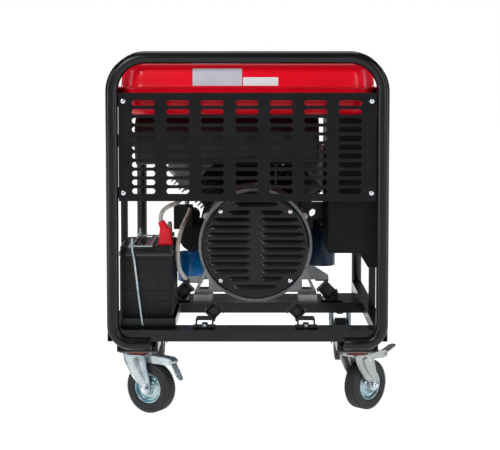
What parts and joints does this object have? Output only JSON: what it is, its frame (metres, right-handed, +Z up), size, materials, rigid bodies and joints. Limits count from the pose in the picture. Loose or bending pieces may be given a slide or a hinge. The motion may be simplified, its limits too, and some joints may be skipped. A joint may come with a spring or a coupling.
{
  "type": "engine driven welder",
  "caption": "Open-frame diesel welding generator on casters: V-twin engine, louvred alternator, red tank over a slotted heat shield, battery and side control box.",
  "frame": {"origin": "on the floor under the middle of the bounding box", "axes": "+Z up, +Y from the alternator end to the fan end, +X to the control panel side"},
  "size_m": [0.7148, 0.938, 0.885],
  "materials": {
    "frame": "glossy black powder coat",
    "shield": "satin blue-black powder coat",
    "zinc": "bright zinc plate",
    "tank": "glossy red enamel",
    "black_plastic": "moulded, matte",
    "battery": "moulded polypropylene, brown-black",
    "lead": "dull cast lead",
    "boot": "soft red vinyl",
    "sleeve": "woven beige-grey sleeve",
    "stator": "dark grey enamel",
    "casting": "as-cast",
    "cover": "satin black",
    "steel": "machined and oiled",
    "iron": "cast, dark",
    "filter_blue": "gloss bright blue",
    "filter_navy": "gloss navy",
    "exhaust": "heat-browned steel",
    "rubber": "moulded rubber",
    "panel": "satin dark grey",
    "meter": "white dial under clear cover",
    "stop_red": "gloss red",
    "brass": "turned brass",
    "socket_blue": "gloss blue",
    "seal_red": "dark red dust seal",
    "tyre": "black rubber",
    "rim": "pressed zinc-plated steel, blue tint"
  },
  "bodies": {
    "frame": {"front_hoop": "frame", "rear_hoop": "frame", "side_rails": "frame", "cross_members": "frame", "caster_brackets": "frame", "side_posts": "frame", "heat_shield": "shield", "panel_screws": "zinc", "tank_lower": "tank", "tank_upper": "tank", "battery_case": "battery", "battery_lid": "battery", "battery_posts": "lead", "battery_tray": "frame", "battery_clamp": "zinc", "terminal_boot": "boot", "battery_cables": "sleeve", "stator_case": "stator", "end_bell": "casting", "vent_cover": "cover", "crankcase": "casting", "cylinders": "iron", "cylinder_heads": "casting", "blower_housing": "cover", "oil_filter": "filter_blue", "fuel_filter": "filter_navy", "air_cleaner": "black_plastic", "exhaust_pipes": "exhaust", "muffler": "exhaust", "starter_motor": "stator", "mount_brackets": "frame", "rubber_mounts": "rubber", "control_box": "panel", "control_panel": "panel", "panel_meters": "meter", "weld_terminals": "brass", "socket_outlets": "socket_blue", "caster_plates": "zinc", "swivel_seals": "seal_red", "bolts": "zinc"},
    "fuel_cap": {"fuel_cap": "black_plastic"},
    "crank": {"rotor": "steel", "flywheel": "iron"},
    "key_switch": {"key_switch": "zinc"},
    "current_knob": {"current_knob": "black_plastic"},
    "stop_button": {"stop_button": "stop_red"},
    "caster_fl": {"fork_fl": "zinc"},
    "wheel_fl": {"tyre_fl": "tyre", "rim_fl": "rim"},
    "caster_fr": {"fork_fr": "zinc"},
    "wheel_fr": {"tyre_fr": "tyre", "rim_fr": "rim"},
    "caster_rl": {"fork_rl": "zinc"},
    "wheel_rl": {"tyre_rl": "tyre", "rim_rl": "rim"},
    "caster_rr": {"fork_rr": "zinc"},
    "wheel_rr": {"tyre_rr": "tyre", "rim_rr": "rim"},
    "pedal_fl": {"pedal_fl": "zinc"},
    "pedal_fr": {"pedal_fr": "zinc"}
  },
  "joints": [
    {"name": "fuel_cap_turn", "type": "hinge", "parent": "frame", "child": "fuel_cap", "pos_m": [-0.136, -0.154, 0.875], "axis": [0, 0, 1], "range_deg": [0, 90]},
    {"name": "crank_spin", "type": "hinge", "parent": "frame", "child": "crank", "pos_m": [0.003, -0.054, 0.408], "axis": [0, 1, 0], "continuous": true},
    {"name": "key_turn", "type": "hinge", "parent": "frame", "child": "key_switch", "pos_m": [0.305, -0.129, 0.664], "axis": [1, 0, 0], "range_deg": [-90, 0]},
    {"name": "current_turn", "type": "hinge", "parent": "frame", "child": "current_knob", "pos_m": [0.305, -0.184, 0.664], "axis": [1, 0, 0], "range_deg": [-135, 135]},
    {"name": "stop_press", "type": "slide", "parent": "frame", "child": "stop_button", "axis": [-1, 0, 0], "range_m": [0, 0.004], "stiffness_N_per_m": 400},
    {"name": "swivel_fl", "type": "hinge", "parent": "frame", "child": "caster_fl", "pos_m": [-0.284, -0.379, 0.14], "axis": [0, 0, 1], "continuous": true},
    {"name": "spin_fl", "type": "hinge", "parent": "caster_fl", "child": "wheel_fl", "pos_m": [-0.25369, -0.3965, 0.0625], "axis": [0.5, 0.866, 0], "continuous": true},
    {"name": "swivel_fr", "type": "hinge", "parent": "frame", "child": "caster_fr", "pos_m": [0.252, -0.379, 0.14], "axis": [0, 0, 1], "continuous": true},
    {"name": "spin_fr", "type": "hinge", "parent": "caster_fr", "child": "wheel_fr", "pos_m": [0.27675, -0.35425, 0.0625], "axis": [-0.7071, 0.7071, 0], "continuous": true},
    {"name": "swivel_rl", "type": "hinge", "parent": "frame", "child": "caster_rl", "pos_m": [-0.284, 0.333, 0.14], "axis": [0, 0, 1], "continuous": true},
    {"name": "spin_rl", "type": "hinge", "parent": "caster_rl", "child": "wheel_rl", "pos_m": [-0.284, 0.298, 0.0625], "axis": [1, 0, 0], "continuous": true},
    {"name": "swivel_rr", "type": "hinge", "parent": "frame", "child": "caster_rr", "pos_m": [0.252, 0.333, 0.14], "axis": [0, 0, 1], "continuous": true},
    {"name": "spin_rr", "type": "hinge", "parent": "caster_rr", "child": "wheel_rr", "pos_m": [0.252, 0.298, 0.0625], "axis": [1, 0, 0], "continuous": true},
    {"name": "brake_fl", "type": "hinge", "parent": "caster_fl", "child": "pedal_fl", "pos_m": [-0.19913, -0.428, 0.131], "axis": [0.5, 0.866, 0], "range_deg": [-80, 0]},
    {"name": "brake_fr", "type": "hinge", "parent": "caster_fr", "child": "pedal_fr", "pos_m": [0.3213, -0.3097, 0.131], "axis": [-0.7071, 0.7071, 0], "range_deg": [0, 80]}
  ]
}
